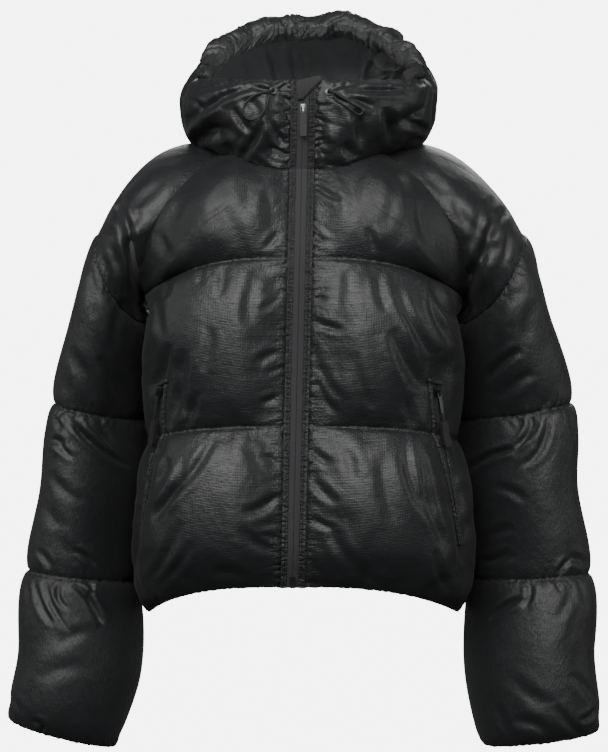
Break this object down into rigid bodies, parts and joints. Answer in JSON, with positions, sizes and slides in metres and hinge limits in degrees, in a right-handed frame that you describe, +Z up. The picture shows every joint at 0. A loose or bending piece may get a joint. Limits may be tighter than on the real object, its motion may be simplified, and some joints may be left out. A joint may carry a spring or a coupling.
{
  "type": "hooded puffer jacket",
  "caption": "Cropped hooded puffer jacket with raglan sleeves, quilted baffles, a gathered hood brim, a full-length front zip, zipped side pockets and a hood drawcord",
  "frame": {"origin": "middle of the neck, level with the shoulder end of the neck seam, where a wearer's shoulders carry the jacket", "axes": "+X to the right as seen from the front, the front faces -Y, +Z up"},
  "size_m": [0.6999, 0.3081, 0.8673],
  "materials": {
    "shell": "glossy black woven nylon over soft filling",
    "tape": "matte black woven zip tape",
    "metal": "dark nickel plate",
    "rubber": "soft matte black",
    "cord": "braided elastic cord"
  },
  "bodies": {
    "jacket": {"front_left": "shell", "front_right": "shell", "back": "shell", "sleeve_left": "shell", "sleeve_right": "shell", "hood_left": "shell", "hood_right": "shell", "hood_brim": "shell", "zip_placket_left": "shell", "zip_placket_right": "shell", "pocket_welt_front_left": "shell", "pocket_welt_front_right": "shell", "pocket_welt_side_left": "shell", "pocket_welt_side_right": "shell", "zip_tape_left": "tape", "zip_tape_right": "tape", "zip_end_fold": "tape", "pocket_zip_left": "tape", "pocket_zip_right": "tape", "zip_slider": "metal", "zip_box": "metal", "pocket_slider_left": "metal", "pocket_slider_right": "metal", "eyelet_left": "metal", "eyelet_right": "metal", "drawcord_left": "cord", "drawcord_right": "cord"},
    "zip_pull_body": {"zip_pull": "rubber"},
    "pocket_pull_left_body": {"pocket_pull_left": "metal", "pocket_toggle_left": "rubber"},
    "pocket_pull_right_body": {"pocket_pull_right": "metal", "pocket_toggle_right": "rubber"}
  },
  "joints": [
    {"name": "zip_pull_hinge", "type": "hinge", "parent": "jacket", "child": "zip_pull_body", "pos_m": [0.00029, -0.11889, 0.04138], "axis": [-1, 0, 0], "range_deg": [0, 150]},
    {"name": "pocket_pull_left_hinge", "type": "hinge", "parent": "jacket", "child": "pocket_pull_left_body", "pos_m": [-0.16715, -0.10619, -0.28451], "axis": [-0.595, 0.776, 0.209], "range_deg": [0, 110]},
    {"name": "pocket_pull_right_hinge", "type": "hinge", "parent": "jacket", "child": "pocket_pull_right_body", "pos_m": [0.1568, -0.11196, -0.28517], "axis": [-0.7167, -0.6687, -0.1979], "range_deg": [0, 110]}
  ]
}
